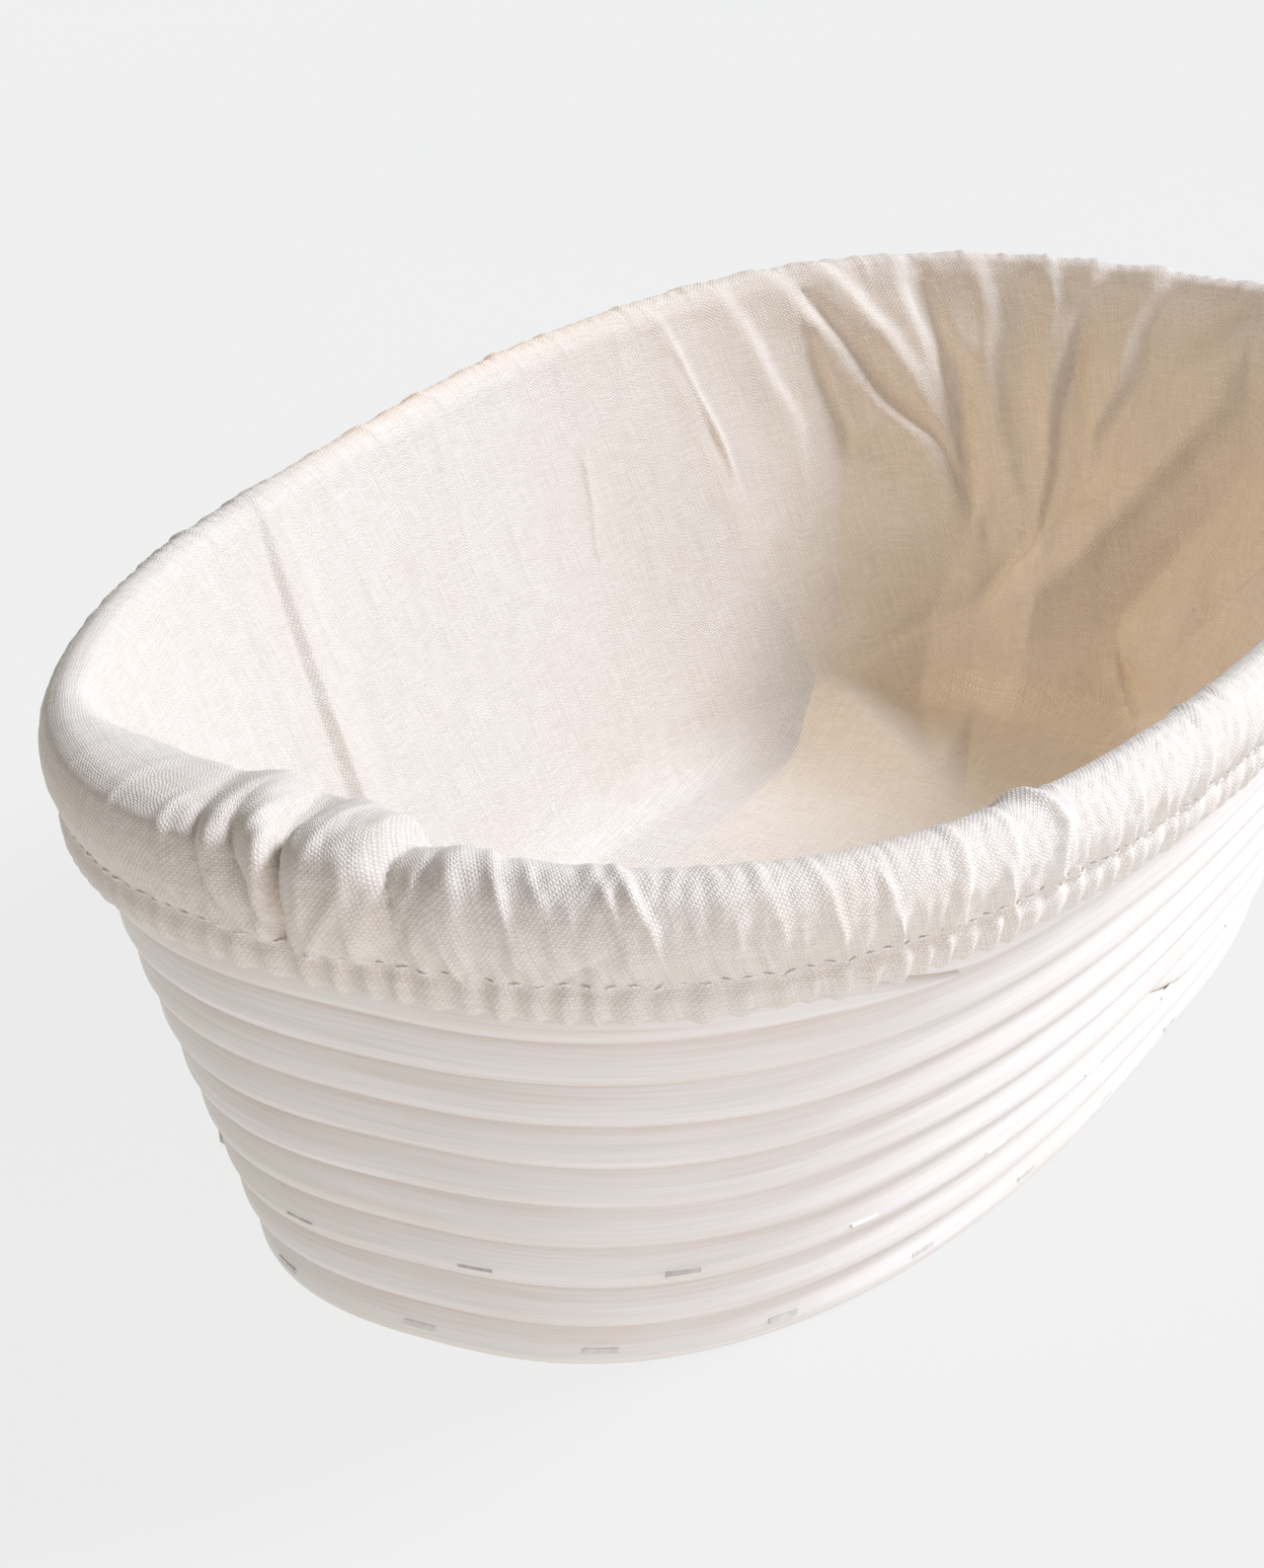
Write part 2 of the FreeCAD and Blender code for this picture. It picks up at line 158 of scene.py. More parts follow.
def grid_mesh(name, points, uv, wrap=False, caps=False):
    """A mesh over a grid of points (rows, columns, 3) in millimetres, joined up across if wrapped.

    The UVs are a grid one column wider than a wrapped mesh, or the quads' corner values.
    """
    rows, cols = points.shape[:2]
    numbers = np.arange(rows * cols).reshape(rows, cols)
    faces = grid_corners(numbers, wrap).reshape(-1, 4).tolist()
    if caps:
        faces.append(numbers[0, ::-1].tolist())
        faces.append(numbers[-1].tolist())
    if uv.ndim == 3:
        uv = grid_corners(uv, False)
    corners = np.zeros((sum(map(len, faces)), 2))
    corners[: uv.size // 2] = uv.reshape(-1, 2)
    return make_mesh(name, points, faces, corners)


def finish_piece(piece, material, slot, body, *nodes):
    piece.data.materials.append(material)
    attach(piece, body)
    if nodes:
        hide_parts(*nodes)
    return piece


# ---------------------------------------------------------------- materials
class Nodes:
    """A short way to build a material's node tree."""

    def __init__(self, name):
        self.material = bpy.data.materials.new(name)
        self.material.use_nodes = True
        self.tree = self.material.node_tree
        self.shader = self.tree.nodes["Principled BSDF"]

    def add(self, kind, settings=None, **inputs):
        node = self.tree.nodes.new(kind)
        for key, value in (settings or {}).items():
            setattr(node, key, value)
        for key, value in inputs.items():
            self.put(node.inputs[key.replace("_", " ")], value)
        return node

    def put(self, socket, value):
        if isinstance(value, bpy.types.NodeSocket):
            self.tree.links.new(value, socket)
        else:
            socket.default_value = value

    def math(self, operation, *values):
        node = self.tree.nodes.new("ShaderNodeMath")
        node.operation = operation
        for socket, value in zip(node.inputs, values):
            self.put(socket, value)
        return node.outputs[0]

    def uv(self):
        node = self.add("ShaderNodeUVMap", {"uv_map": "UVMap"})
        split = self.add("ShaderNodeSeparateXYZ", Vector=node.outputs["UV"])
        return split.outputs["X"], split.outputs["Y"]

    def vector(self, x, y, z=0.0):
        return self.add("ShaderNodeCombineXYZ", X=x, Y=y, Z=z).outputs[0]

    def noise(self, vector, scale, detail=2.0, roughness=0.5):
        node = self.add(
            "ShaderNodeTexNoise", Vector=vector, Scale=scale, Detail=detail, Roughness=roughness
        )
        return node.outputs["Fac"]

    def grain(self, u, v, along, across, detail=2.0, roughness=0.5, seed=0.0):
        """Noise with so many waves a millimetre along u and along v."""
        vector = self.vector(self.math("MULTIPLY", u, along), self.math("MULTIPLY", v, across), seed)
        return self.noise(vector, 1.0, detail, roughness)

    def ramp(self, fac, *stops):
        """A colour ramp from (position, colour) stops; a bare number is a grey."""
        node = self.add("ShaderNodeValToRGB", Fac=fac)
        elements = node.color_ramp.elements
        while len(elements) < len(stops):
            elements.new(0.5)
        for element, (position, colour) in zip(elements, stops):
            element.position = position
            element.color = (*colour, 1) if isinstance(colour, tuple) else (colour,) * 3 + (1,)
        return node.outputs["Color"]

    def blend(self, fac, first, second, mode="MIX"):
        node = self.add("ShaderNodeMix", {"data_type": "RGBA", "blend_type": mode})
        for socket, value in zip((node.inputs[0], node.inputs[6], node.inputs[7]), (fac, first, second)):
            self.put(socket, (*value, 1) if isinstance(value, tuple) else value)
        return node.outputs[2]

    def bump(self, height, strength, distance, normal=None):
        node = self.add("ShaderNodeBump", Height=height, Strength=strength, Distance=distance)
        if normal is not None:
            self.put(node.inputs["Normal"], normal)
        return node.outputs["Normal"]

    def set(self, **inputs):
        for key, value in inputs.items():
            self.put(self.shader.inputs[key.replace("_", " ")], value)
        return self.material


def cane_material():
    """Peeled, bleached rattan: pale, with fine fibres along it, and painted shade darkening each cane towards
    the grooves between turns.
    """
    n = Nodes("bleached_cane")
    along, across = n.uv()
    fibre = n.grain(along, across, 0.035, 2.2, detail=4.0, roughness=0.6)
    streak = n.grain(along, across, 0.012, 0.55, detail=3.0)
    blotch = n.grain(along, across, 0.02, 0.08)
    scratch = n.grain(along, across, 0.09, 3.0, seed=7.0)
    base = n.ramp(fibre, (0.30, (0.845, 0.785, 0.73)), (0.58, (0.905, 0.86, 0.83)))
    tone = n.ramp(streak, (0.35, (0.95, 0.93, 0.90)), (0.62, (1.0, 1.0, 1.0)))
    colour = n.blend(1.0, base, tone, "MULTIPLY")
    warm = n.ramp(blotch, (0.40, 0.0), (0.75, 0.5))
    colour = n.blend(warm, colour, (0.92, 0.88, 0.81), "MULTIPLY")
    # painted shade: everything but the middle of each cane's outer face is darkened and yellowed, most at its
    # top, bottom and back, so the grooves between turns look shaded
    facing = n.math("COSINE", n.math("MULTIPLY", across, math.tau / SECTION_ROUND))
    groove_shade = n.ramp(facing, (0.10, 1.0), (0.80, 0.0))
    colour = n.blend(groove_shade, colour, (0.83, 0.77, 0.68), "MULTIPLY")
    dark = n.ramp(scratch, (0.72, 0.0), (0.80, 0.4))
    colour = n.blend(dark, colour, (0.52, 0.43, 0.33))
    normal = n.bump(fibre, 0.2, 0.0002)
    rough = n.ramp(fibre, (0.3, 0.62), (0.7, 0.46))
    return n.set(Base_Color=colour, Roughness=rough, Normal=normal, Specular_IOR_Level=0.35)


def cloth_material():
    """Unbleached plain-weave cotton, with uneven threads, painted shade in the gaps between them, and a few
    dark flecks.
    """
    n = Nodes("liner_cotton")
    u, v = n.uv()
    wander_u = n.grain(u, v, 0.05, 1.2)
    wander_v = n.grain(u, v, 1.2, 0.05, seed=3.0)
    x = n.math("MULTIPLY", n.math("ADD", u, n.math("MULTIPLY", wander_v, 0.35)), math.pi / THREAD_SPACING)
    y = n.math("MULTIPLY", n.math("ADD", v, n.math("MULTIPLY", wander_u, 0.35)), math.pi / THREAD_SPACING)
    sin_x, sin_y = n.math("SINE", x), n.math("SINE", y)
    over = n.math("MULTIPLY", sin_x, sin_y)
    threads = n.math("MAXIMUM", n.math("ABSOLUTE", sin_x), n.math("ABSOLUTE", sin_y))
    weave = n.math("ADD", n.math("MULTIPLY", over, 0.5), threads)
    slub_u = n.grain(u, v, 0.12, 2.4, seed=9.0)
    slub_v = n.grain(u, v, 2.4, 0.12, seed=5.0)
    slub = n.math("ADD", slub_u, slub_v)
    place = n.add("ShaderNodeNewGeometry").outputs["Position"]
    cloud = n.noise(place, 18.0, 3.0)
    fleck = n.grain(u, v, 0.45, 0.9, detail=1.0, seed=2.0)
    # the weave's own pattern, with painted shade: the gaps between threads are darker and yellower
    base = n.ramp(n.math("MULTIPLY", weave, 0.6), (0.1, (0.80, 0.73, 0.66)), (0.75, (0.955, 0.885, 0.815)))
    yarn = n.ramp(n.math("MULTIPLY", slub, 0.5), (0.40, (0.91, 0.89, 0.86)), (0.60, (1.0, 1.0, 1.0)))
    colour = n.blend(1.0, base, yarn, "MULTIPLY")
    tint = n.ramp(cloud, (0.35, (0.97, 0.955, 0.93)), (0.65, (1.0, 1.0, 1.0)))
    colour = n.blend(1.0, colour, tint, "MULTIPLY")
    spot = n.ramp(fleck, (0.835, 0.0), (0.85, 0.75))
    colour = n.blend(spot, colour, (0.22, 0.16, 0.11))
    normal = n.bump(weave, 0.7, 0.00014)
    normal = n.bump(slub, 0.35, 0.0002, normal)
    return n.set(
        Base_Color=colour,
        Roughness=0.9,
        Specular_IOR_Level=0.15,
        Sheen_Weight=0.12,
        Sheen_Roughness=0.5,
        Normal=normal,
    )


def steel_material():
    """Dull galvanized wire."""
    n = Nodes("staple_steel")
    place = n.add("ShaderNodeNewGeometry").outputs["Position"]
    grain = n.noise(place, 900.0, 3.0)
    colour = n.ramp(grain, (0.3, (0.66, 0.63, 0.59)), (0.7, (0.80, 0.77, 0.74)))
    rough = n.ramp(grain, (0.3, 0.5), (0.7, 0.65))
    return n.set(Base_Color=colour, Metallic=0.35, Roughness=rough)


def thread_material(name, light, pitch):
    """Twisted thread, or the ribs of a woven elastic, so many millimetres apart."""
    n = Nodes(name)
    u, v = n.uv()
    slanted = n.math("ADD", u, n.math("MULTIPLY", v, 0.8))
    twist = n.math("SINE", n.math("MULTIPLY", slanted, math.tau / pitch))
    dark = tuple(value * 0.86 for value in light)
    colour = n.ramp(n.math("MULTIPLY_ADD", twist, 0.5, 0.5), (0.0, dark), (0.6, light))
    return n.set(Base_Color=colour, Roughness=0.8, Normal=n.bump(twist, 0.5, 0.0001))


def floor_material():
    """A pale seamless floor that holds only a faint shadow."""
    n = Nodes("pale_floor")
    place = n.add("ShaderNodeNewGeometry").outputs["Position"]
    mottle = n.noise(place, 3.0, 2.0)
    colour = n.ramp(mottle, (0.3, (0.058, 0.058, 0.058)), (0.7, (0.062, 0.062, 0.062)))
    return n.set(
        Base_Color=colour,
        Roughness=0.9,
        Specular_IOR_Level=0.0,
        Emission_Color=(1.0, 1.0, 1.0, 1.0),
        Emission_Strength=0.81,
    )


CANE = cane_material()
CLOTH = cloth_material()
STEEL = steel_material()
THREAD = thread_material("liner_thread", (0.93, 0.90, 0.85), 0.7)
ELASTIC = thread_material("elastic_webbing", (0.90, 0.89, 0.86), 1.1)


# ---------------------------------------------------------------- cane
def wobble(turn, seed, size):
    """Smooth unevenness along the cane that differs from turn to turn."""
    noise = np.random.default_rng(seed)
    total = np.zeros_like(turn)
    for _ in range(9):
        total += np.sin(math.tau * (noise.uniform(1.3, 14.0) * turn + noise.random()))
    return total * size / 3


def scarfed(low, high, turn, scarf_start, scarf_end):
    """Cut a strip down to a wedge where it meets the strip before it or after it."""
    full, bottom, top = high - low, low, high
    if scarf_start is not None:
        wedge = top - full * smooth_step((turn - scarf_start) / SCARF_SHARE) + SEAM_GAP / 2
        low = np.where(turn < scarf_start + SCARF_SHARE, wedge, low)
    if scarf_end is not None:
        wedge = top - full * smooth_step((turn - scarf_end) / SCARF_SHARE) - SEAM_GAP / 2
        high = np.where(turn > scarf_end, wedge, high)
    return np.maximum(low, bottom), np.minimum(high, top)


def section():
    """A rounded rectangle round the cane, as (across, up) from -1 to 1."""
    angle = np.linspace(0, math.tau, SECTION_POINTS, endpoint=False)
    c, s = np.cos(angle), np.sin(angle)
    power = 2 / SECTION_POWER
    return np.sign(c) * np.abs(c) ** power, np.sign(s) * np.abs(s) ** power


def turn_edge(turn):
    """The height of the seam under a turn, uneven except at the table and at the rim."""
    free = smooth_step(turn / 1.2) * smooth_step((WALL_TURNS - turn) / 1.2)
    return np.clip(CANE_WIDTH * climb(turn) + wobble(turn, 11, 0.22) * free, 0, WALL_HEIGHT)


def coiled_cane(name, strip, turn, turn_length, points):
    """A cane's mesh, with its UVs in millimetres along it and round it."""
    around = np.arange(SECTION_POINTS + 1) * SECTION_ROUND / SECTION_POINTS
    u, v = np.meshgrid(turn * turn_length, around + 2 * SECTION_ROUND * strip, indexing="ij")
    return grid_mesh(name, np.stack(points, -1), np.stack([u, v], -1), wrap=True, caps=True)


def wall_cane(index, start, end, scarf_start, scarf_end):
    """One strip of the wall, from one point to another in turns."""
    turn = np.linspace(start, end, int((end - start) * STEPS_A_TURN))
    bottom, top = turn_edge(turn), turn_edge(turn + 1) - TURN_GAP
    low, high = scarfed(bottom, top, turn, scarf_start, scarf_end)
    centre = np.clip((bottom + top) / 2, CANE_WIDTH / 2, WALL_HEIGHT - CANE_WIDTH / 2)
    outer = WALL_SLOPE * centre + wobble(turn, 23, 0.12)
    side, up = section()
    half = (high - low) / 2 + PRESSED
    reach = CANE_THICK / 2 * np.minimum(1, 0.7 + half / CANE_WIDTH)
    offset = (outer - CANE_THICK / 2)[:, None] + reach[:, None] * side[None, :]
    z = np.maximum(0, ((low + high) / 2)[:, None] + half[:, None] * up[None, :])
    x, y = outline(offset, coil_angle(turn)[:, None])
    piece = coiled_cane(f"cane_wall_{index}", index, turn, WALL_TURN_LENGTH, (x, y, z))
    return finish_piece(piece, CANE, "rattan_cane", "basket", f"wall_cane_{index}")


def floor_cane(index, start, end, scarf_start, scarf_end):
    """One strip of the flat coil."""
    pitch = (FLOOR_OUTER - FLOOR_INNER) / FLOOR_TURNS
    turn = np.linspace(start, end, int((end - start) * STEPS_A_TURN))
    low = FLOOR_INNER + pitch * climb(turn)
    low, high = np.maximum(low, FLOOR_INNER) + TURN_GAP, np.minimum(low + pitch, FLOOR_OUTER)
    low, high = scarfed(low, high, turn, scarf_start, scarf_end)
    side, up = section()
    half = (high - low) / 2 + TURN_GAP / 2
    reach = ((low + high) / 2)[:, None] + half[:, None] * side[None, :]
    z = np.repeat((CANE_THICK / 2 * (1 + up))[None, :], len(turn), 0)
    x, y = outline(reach - FOOT_HALF_WIDTH, coil_angle(turn)[:, None])
    piece = coiled_cane(f"cane_floor_{index}", index + WALL_STRIPS, turn, FLOOR_TURN_LENGTH, (x, y, z))
    return finish_piece(piece, CANE, "rattan_cane", "basket", f"floor_cane_{index}")


def floor_core():
    """The straight strip that the floor starts from."""
    angle = np.linspace(0, math.tau, 240, endpoint=False)
    rows = []
    for tilt in np.linspace(-math.pi / 2, math.pi / 2, 15):
        reach = FLOOR_INNER - CORE_ROUNDING * (1 - math.cos(tilt) ** CORE_POWER)
        z = CANE_THICK / 2 * (1 + math.copysign(abs(math.sin(tilt)) ** CORE_POWER, tilt))
        x, y = outline(reach - FOOT_HALF_WIDTH, angle)
        rows.append(np.stack([x, y, np.full_like(x, z)], -1))
    points = np.array(rows)
    u = np.concatenate([points[..., 0], points[:, :1, 0]], 1)
    v = np.concatenate([points[..., 1], points[:, :1, 1]], 1) + 500.0
    piece = grid_mesh("cane_floor_core", points, np.stack([u, v], -1), wrap=True, caps=True)
    return finish_piece(piece, CANE, "rattan_cane", "basket", "floor_core_cane")


def build_cane():
    """The strips, each cut short of its scarf's thin end."""
    tip = TIP_SHARE * SCARF_SHARE
    first = -RAMP_SHARE * TAPER_SHARE
    last = -RAMP_SHARE * (1 - TAPER_SHARE)
    scarfs = (None, *WALL_SCARFS, None)
    for i in range(WALL_STRIPS):
        begin, finish = scarfs[i], scarfs[i + 1]
        start = first if begin is None else begin + tip
        end = WALL_TURNS + last if finish is None else finish + SCARF_SHARE - tip
        wall_cane(i + 1, start, end, begin, finish)
    floor_cane(1, first, FLOOR_SCARF + SCARF_SHARE - tip, None, FLOOR_SCARF)
    floor_cane(2, FLOOR_SCARF + tip, FLOOR_TURNS + last, FLOOR_SCARF, None)
    floor_core()


def dress_staples():
    """The staples keep their CAD shape."""
    for name in ("floor_staples", "foot_staples", "third_turn_staples", "hidden_wall_staples"):
        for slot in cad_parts[name].material_slots:
            slot.material = STEEL


# ---------------------------------------------------------------- liner
WALL_LINE = -CANE_THICK - 1.3  # offset of the cloth on the wall, at the table
MOST_SUNK = 0.6  # how far a valley may sink towards the cane
FILLET = 5.0  # how far in from the wall the cloth leaves the floor, to cut the corner
FILLET_RISE = 6.75  # how far up the wall it meets the wall again
WEAVE_SLANT = 0.3  # how far the weave leans along the rim for each millimetre across it
STITCH = 119.0  # station of the stitched line, see liner_profile
STITCH_LINE = STITCH - 0.2  # where the thread lies
STATIONS = np.concatenate(
    [
        np.linspace(-56, 0, 30, endpoint=False),
        np.linspace(0, 88, 84, endpoint=False),
        np.linspace(88, 136.5, 88),
    ]
)
PLACES = np.arange(AROUND) / AROUND * RIM_LENGTH
OVER_THE_RIM = (  # station, offset, height: over the rim, down the cuff, round the hem and back up
    (88.0, 23.2, 88.0),
    (92.7, 24.5, 92.4),
    (96.0, 26.4, 94.8),
    (99.0, 29.2, 95.2),
    (102.4, 31.8, 93.5),
    (106.0, 32.8, 90.0),
    (109.5, 32.6, 86.4),
    (113.5, 31.2, 82.9),
    (119.0, 29.6, 80.4),
    (122.0, 30.3, 77.7),
    (125.0, 29.7, 75.0),
    (127.0, 28.2, 73.5),
    (128.6, 27.3, 74.7),
    (131.5, 28.4, 77.4),
    (136.5, 29.0, 79.9),
)
SHELF = (  # station, how far in, how far up: the cloth cuts the near corner instead of hugging the rim
    (50.0, 0.0, 0.0),
    (70.0, 5.0, 0.0),
    (80.0, 11.0, 1.0),
    (86.0, 16.0, 3.5),
    (89.0, 17.0, 5.0),
    (92.0, 15.0, 4.2),
    (95.0, 9.0, 2.2),
    (98.0, 2.5, 0.8),
    (101.0, 0.0, 0.0),
)
SHELF_SPAN = (  # place, share of the shelf there
    (368.0, 0.0),
    (379.0, 0.2),
    (389.0, 0.45),
    (399.0, 0.66),
    (411.0, 0.86),
    (422.0, 1.0),
    (436.0, 1.0),
    (444.0, 0.92),
    (452.0, 0.66),
    (461.0, 0.40),
    (470.0, 0.22),
    (486.0, 0.10),
    (510.0, 0.0),
)


def bump_at(x, centre, width):
    return np.exp(-(((x - centre) / width) ** 2))


def ring_distance(place, centre):
    """Signed distance along the rim, the short way round."""
    return (place - centre + RIM_LENGTH / 2) % RIM_LENGTH - RIM_LENGTH / 2


def liner_profile(station):
    """Offset and height of the cloth before its folds: floor, wall, over the rim, cuff and hem."""
    foot = WALL_LINE + WALL_SLOPE * FLOOR_CLOTH_Z
    z = np.maximum(station, FLOOR_CLOTH_Z)
    offset = np.where(station < FLOOR_CLOTH_Z, foot - (FLOOR_CLOTH_Z - station), WALL_LINE + WALL_SLOPE * z)
    low, high = FLOOR_CLOTH_Z - FILLET, FLOOR_CLOTH_Z + FILLET_RISE
    share = np.clip((station - low) / (high - low), 0, 1)
    chord = (station > low) & (station < high)
    offset = np.where(chord, foot - FILLET + share * (FILLET + WALL_SLOPE * FILLET_RISE), offset)
    z = np.where(chord, FLOOR_CLOTH_Z + share * FILLET_RISE, z)
    table = np.array(OVER_THE_RIM)
    over = station > 88
    offset = np.where(over, np.interp(station, table[:, 0], table[:, 1]), offset)
    z = np.where(over, np.interp(station, table[:, 0], table[:, 2]), z)
    return np.maximum(offset, 0.01 - FOOT_HALF_WIDTH), z


def smooth_rows(values, passes):
    """Round the profile's corners, leaving its two ends where they are."""
    for _ in range(passes):
        values[1:-1] = 0.25 * values[:-2] + 0.5 * values[1:-1] + 0.25 * values[2:]
    return values


def add_fold(lift, path, lean=0.0, power=1.8):
    """Raise a fold along a path of (place, station, height, half width) points; crisp if the power is low."""
    path = np.array(path, float)
    first = path[0, 0]
    nodes = ring_distance(path[:, 0], first)
    reach = 4 * path[:, 3].max()
    near = ring_distance(PLACES, first)
    cols = np.flatnonzero((near > nodes.min() - reach) & (near < nodes.max() + reach))
    rows = np.flatnonzero((STATIONS > path[:, 1].min() - reach) & (STATIONS < path[:, 1].max() + reach))
    station = STATIONS[rows][:, None]
    wander = np.sin(station / 6.5 + first) + 0.6 * np.sin(station / 3.1 + 2.3 * first)
    x = near[cols][None, :] + 0.25 * path[:, 3].mean() * wander
    best = np.full((len(rows), len(cols)), np.inf)
    raised = np.zeros_like(best)
    for i in range(len(path) - 1):
        start, end = (nodes[i], path[i, 1]), (nodes[i + 1], path[i + 1, 1])
        dx, dy = end[0] - start[0], end[1] - start[1]
        share = np.clip(((x - start[0]) * dx + (station - start[1]) * dy) / (dx * dx + dy * dy), 0, 1)
        off_x, off_y = x - start[0] - share * dx, station - start[1] - share * dy
        away = np.hypot(off_x, off_y)
        side = np.sign(off_x * dy - off_y * dx) * away
        height = path[i, 2] + share * (path[i + 1, 2] - path[i, 2])
        width = path[i, 3] + share * (path[i + 1, 3] - path[i, 3])
        width = width * (1 + lean * np.tanh(side / width))
        closer = away < best
        raised = np.where(closer, height * np.exp(-np.abs(away / width) ** power), raised)
        best = np.minimum(best, away)
    lift[np.ix_(rows, cols)] += raised


# At each end the cloth spans the basket's round corners in flat facets, creased where they meet.
# A point is place from the end, station, lift off the basket in mm, and how fully it is held there.
END_POINTS = {
    "corner": (78, 16.5, 1.5, 1),
    "floor_left": (50, 3.6, 2.4, 1),
    "floor_crease": (31.5, -2.5, 3.0, 1),
    "floor_mid": (15.5, -7.0, 2.4, 1),
    "floor_right": (-29.5, -11.5, 1.0, 1),
    "floor_turn": (-60, -6.0, 2.0, 1),
    "floor_end": (-89, 4.0, 3.0, 1),
    "crease_end": (55, -34, 3.0, 1),
    "floor_dip": (30, -32, 0.2, 1),
    "post_low": (72.4, 28, 0.6, 1),
    "post_mid": (72, 40, 0.6, 1),
    "post_high": (69, 53, 0.6, 1),
    "post_top": (66, 66, 0.6, 0.5),
    "span_high": (45, 60, 4.0, 1),
    "span_low": (35, 44, 5.5, 1),
    "span_step": (32, 27, 6.6, 1),
    "span_foot": (46, 24.5, 4.4, 1),
    "fold_top": (-29.5, 84.5, 3.0, 0.9),
    "fold_high": (-21.5, 66, 7.0, 1),
    "fold_mid": (-10, 50.5, 9.5, 1),
    "fold_low": (1.5, 38, 11.0, 1),
    "star": (12.5, 32, 11.0, 1),
    "spur": (14, 19, 9.5, 1),
    "gully_top": (4.5, 60, 4.2, 1),
    "gully_mid": (6, 48.5, 4.2, 1),
    "gully_low": (13, 42.5, 4.8, 1),
    "gully_foot": (24.5, 33, 5.2, 1),
    "hollow_top": (-37, 64, 1.0, 1),
    "hollow_high": (-31.5, 51.5, 0.6, 1),
    "hollow_mid": (-22.5, 41.5, 0.4, 1),
    "hollow_low": (-9.0, 26, 0.6, 1),
    "hollow_foot": (-19, 11.5, 1.2, 1),
    "right_bulge": (-35, 31, 6.5, 1),
    "right_low": (-43, 34, 4.5, 1),
    "right_high": (-54, 50, 2.5, 0.8),
    "right_post_low": (-74, 28, 1.0, 1),
    "right_post": (-72, 48, 0.6, 0.7),
    "floor_a": (112, -18, 0, 0),
    "floor_b": (75, -50, 0, 0),
    "floor_c": (10, -54, 0, 0),
    "floor_d": (-40, -52, 0, 0),
    "floor_e": (-112, -20, 0, 0),
    "left_foot": (118, 8, 0, 0),
    "left_low": (100, 26, 0, 0),
    "left_mid": (96, 48, 0, 0),
    "left_high": (88, 70, 0, 0),
    "loose_a": (58, 80, 2.2, 1),
    "loose_b": (34, 76, 3.0, 1),
    "loose_c": (12, 72, 3.5, 1),
    "loose_d": (-10, 76, 3.0, 1),
    "loose_e": (-48, 78, 1.6, 1),
    "top_a": (80, 92, 0, 0),
    "top_b": (36, 95, 0, 0),
    "top_c": (12, 95, 0, 0),
    "top_d": (-20, 95, 0, 0),
    "top_e": (-66, 92, 0, 0),
    "right_wall_high": (-92, 62, 0, 0),
    "right_wall": (-102, 34, 0, 0),
    "right_foot": (-118, 8, 0, 0),
}
END_CREASES = (
    ("corner", "floor_left", "floor_crease", "floor_mid", "floor_right", "floor_turn", "floor_end"),
    ("floor_crease", "crease_end"),
    ("star", "span_step", "span_foot", "corner"),
    ("fold_top", "fold_high", "fold_mid", "fold_low", "star"),
    ("star", "spur", "floor_mid"),
    ("hollow_top", "hollow_high", "hollow_mid", "hollow_low", "hollow_foot", "floor_right"),
    ("corner", "post_low", "post_mid", "post_high", "post_top"),
    ("gully_top", "gully_mid", "gully_low", "gully_foot"),
    ("gully_foot", "span_low", "span_high"),
    ("right_bulge", "right_low"),
    ("right_post_low", "right_post"),
    ("floor_end", "right_post_low"),
)


def hang_in_facets(points, end, hand, size):
    """Move the cloth at one end of the basket from its curve into the facets.

    hand is -1 to mirror them, and size scales how far they stand off the basket.
    """
    names = list(END_POINTS)
    table = np.array(list(END_POINTS.values()), float)
    creases = [(names.index(a), names.index(b)) for path in END_CREASES for a, b in zip(path, path[1:])]
    spots = [Vector((place, station)) for place, station in table[:, :2]]
    triangles = delaunay_2d_cdt(spots, creases, [], 0, 1e-6)[2]
    col = np.round((end + hand * table[:, 0]) / RIM_LENGTH * AROUND).astype(int) % AROUND
    row = np.clip(np.searchsorted(STATIONS, table[:, 1]), 0, len(STATIONS) - 1)
    held_at = points[row, col] + surface_normals(points)[row, col] * (table[:, 2] * size)[:, None]
    x = np.broadcast_to(hand * ring_distance(PLACES, end)[None, :], points.shape[:2])
    y = np.broadcast_to(STATIONS[:, None], points.shape[:2])
    shift = np.zeros_like(points)
    for a, b, c in triangles:
        (ax, ay), (bx, by), (cx, cy) = table[[a, b, c], :2]
        span = (by - cy) * (ax - cx) + (cx - bx) * (ay - cy)
        share_a = ((by - cy) * (x - cx) + (cx - bx) * (y - cy)) / span
        share_b = ((cy - ay) * (x - cx) + (ax - cx) * (y - cy)) / span
        share_c = 1 - share_a - share_b
        inside = (share_a >= -1e-9) & (share_b >= -1e-9) & (share_c >= -1e-9)
        shares = np.stack([share_a[inside], share_b[inside], share_c[inside]], -1)
        hold = smooth_step(shares @ table[[a, b, c], 3])[:, None]
        shift[inside] = hold * (shares @ held_at[[a, b, c]] - points[inside])
    for _ in range(2):
        shift = 0.25 * np.roll(shift, 1, 1) + 0.5 * shift + 0.25 * np.roll(shift, -1, 1)
        smooth_rows(shift, 1)
    return points + shift


